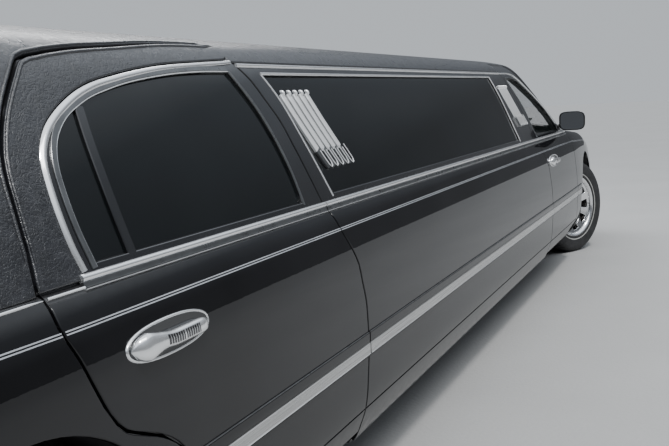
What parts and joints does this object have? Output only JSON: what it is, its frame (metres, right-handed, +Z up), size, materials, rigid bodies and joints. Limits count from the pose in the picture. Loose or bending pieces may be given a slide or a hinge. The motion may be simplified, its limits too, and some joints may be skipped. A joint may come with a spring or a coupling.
{
  "type": "stretch limousine",
  "caption": "Black stretch limousine, a long saloon car with a vinyl roof, opening doors, bonnet and boot, and steered rolling wheels.",
  "frame": {"origin": "on the floor under the middle of the car's length and width", "axes": "+X towards the front of the car, +Y towards its left side, +Z up"},
  "size_m": [8.52, 2.15, 1.484],
  "materials": {
    "black_paint": "deep gloss",
    "underbody_black": "matt",
    "exhaust_steel": "dull",
    "bare_steel": "dull",
    "engine_iron": "dull",
    "vinyl_roof": "grained satin",
    "dark_glass": "gloss, dark tint",
    "clear_glass": "gloss",
    "chrome_trim": "polished",
    "lamp_clear": "gloss",
    "lamp_red": "gloss",
    "seat_leather": "satin",
    "interior_plastic": "satin",
    "tyre_rubber": "matt",
    "wheel_chrome": "polished"
  },
  "bodies": {
    "root": {"floor_pan": "underbody_black", "frame_rails": "underbody_black", "frame_crossmembers": "underbody_black", "roof": "vinyl_roof", "centre_side_right": "black_paint", "centre_side_left": "black_paint", "centre_windows": "dark_glass", "window_bars": "chrome_trim", "quarter_panel_right": "black_paint", "quarter_panel_left": "black_paint", "fender_right": "black_paint", "fender_left": "black_paint", "windscreen": "clear_glass", "rear_window": "dark_glass", "front_bumper": "black_paint", "rear_bumper": "black_paint", "grille": "chrome_trim", "headlamps": "lamp_clear", "tail_lamps": "lamp_red", "boot_floor": "underbody_black", "bulkhead": "underbody_black", "wheel_liners": "underbody_black", "rear_seat": "seat_leather", "side_bench": "seat_leather", "bar_cabinet": "interior_plastic", "partition": "interior_plastic", "front_seats": "seat_leather", "dashboard": "interior_plastic", "steering_wheel": "interior_plastic", "engine": "engine_iron", "rear_axle": "underbody_black", "propshaft": "bare_steel", "exhaust": "exhaust_steel", "fuel_tank": "underbody_black", "front_suspension": "underbody_black"},
    "rear_door_right": {"rear_door_right": "black_paint", "rear_door_glass_right": "dark_glass"},
    "front_door_right": {"front_door_right": "black_paint", "front_door_glass_right": "clear_glass", "door_mirror_right": "black_paint"},
    "steering_right": {"knuckle_right": "bare_steel"},
    "front_wheel_right": {"front_tyre_right": "tyre_rubber", "front_rim_right": "wheel_chrome"},
    "rear_wheel_right": {"rear_tyre_right": "tyre_rubber", "rear_rim_right": "wheel_chrome"},
    "rear_door_left": {"rear_door_left": "black_paint", "rear_door_glass_left": "dark_glass"},
    "front_door_left": {"front_door_left": "black_paint", "front_door_glass_left": "clear_glass", "door_mirror_left": "black_paint"},
    "steering_left": {"knuckle_left": "bare_steel"},
    "front_wheel_left": {"front_tyre_left": "tyre_rubber", "front_rim_left": "wheel_chrome"},
    "rear_wheel_left": {"rear_tyre_left": "tyre_rubber", "rear_rim_left": "wheel_chrome"},
    "bonnet": {"bonnet": "black_paint"},
    "boot_lid": {"boot_lid": "black_paint"}
  },
  "joints": [
    {"name": "rear_door_right_hinge", "type": "hinge", "parent": "root", "child": "rear_door_right", "pos_m": [-1.45, -0.985, 0.6], "axis": [0, 0, 1], "range_deg": [0, 65]},
    {"name": "front_door_right_hinge", "type": "hinge", "parent": "root", "child": "front_door_right", "pos_m": [2.578, -0.983, 0.6], "axis": [0, 0, 1], "range_deg": [0, 65]},
    {"name": "steering_right_pivot", "type": "hinge", "parent": "root", "child": "steering_right", "pos_m": [3.21, -0.75, 0.351], "axis": [0, 0, 1], "range_deg": [-10, 60]},
    {"name": "front_wheel_right_spin", "type": "hinge", "parent": "steering_right", "child": "front_wheel_right", "pos_m": [3.18887, -0.79531, 0.351], "axis": [0.4226, 0.9063, 0], "continuous": true},
    {"name": "rear_wheel_right_spin", "type": "hinge", "parent": "root", "child": "rear_wheel_right", "pos_m": [-2.83, -0.8, 0.351], "axis": [0, 1, 0], "continuous": true},
    {"name": "rear_door_left_hinge", "type": "hinge", "parent": "root", "child": "rear_door_left", "pos_m": [-1.45, 0.985, 0.6], "axis": [0, 0, -1], "range_deg": [0, 65]},
    {"name": "front_door_left_hinge", "type": "hinge", "parent": "root", "child": "front_door_left", "pos_m": [2.578, 0.983, 0.6], "axis": [0, 0, -1], "range_deg": [0, 65]},
    {"name": "steering_left_pivot", "type": "hinge", "parent": "root", "child": "steering_left", "pos_m": [3.21, 0.75, 0.351], "axis": [0, 0, 1], "range_deg": [-10, 60]},
    {"name": "front_wheel_left_spin", "type": "hinge", "parent": "steering_left", "child": "front_wheel_left", "pos_m": [3.23113, 0.79531, 0.351], "axis": [0.4226, 0.9063, 0], "continuous": true},
    {"name": "rear_wheel_left_spin", "type": "hinge", "parent": "root", "child": "rear_wheel_left", "pos_m": [-2.83, 0.8, 0.351], "axis": [0, 1, 0], "continuous": true},
    {"name": "bonnet_hinge", "type": "hinge", "parent": "root", "child": "bonnet", "pos_m": [2.64, 0, 1.016], "axis": [0, -1, 0], "range_deg": [0, 50]},
    {"name": "boot_lid_hinge", "type": "hinge", "parent": "root", "child": "boot_lid", "pos_m": [-3.27, 0, 1.045], "axis": [0, 1, 0], "range_deg": [0, 75]}
  ],
  "couplings": [
    {"joint": "steering_left_pivot", "follows": "steering_right_pivot", "ratio": 1}
  ]
}
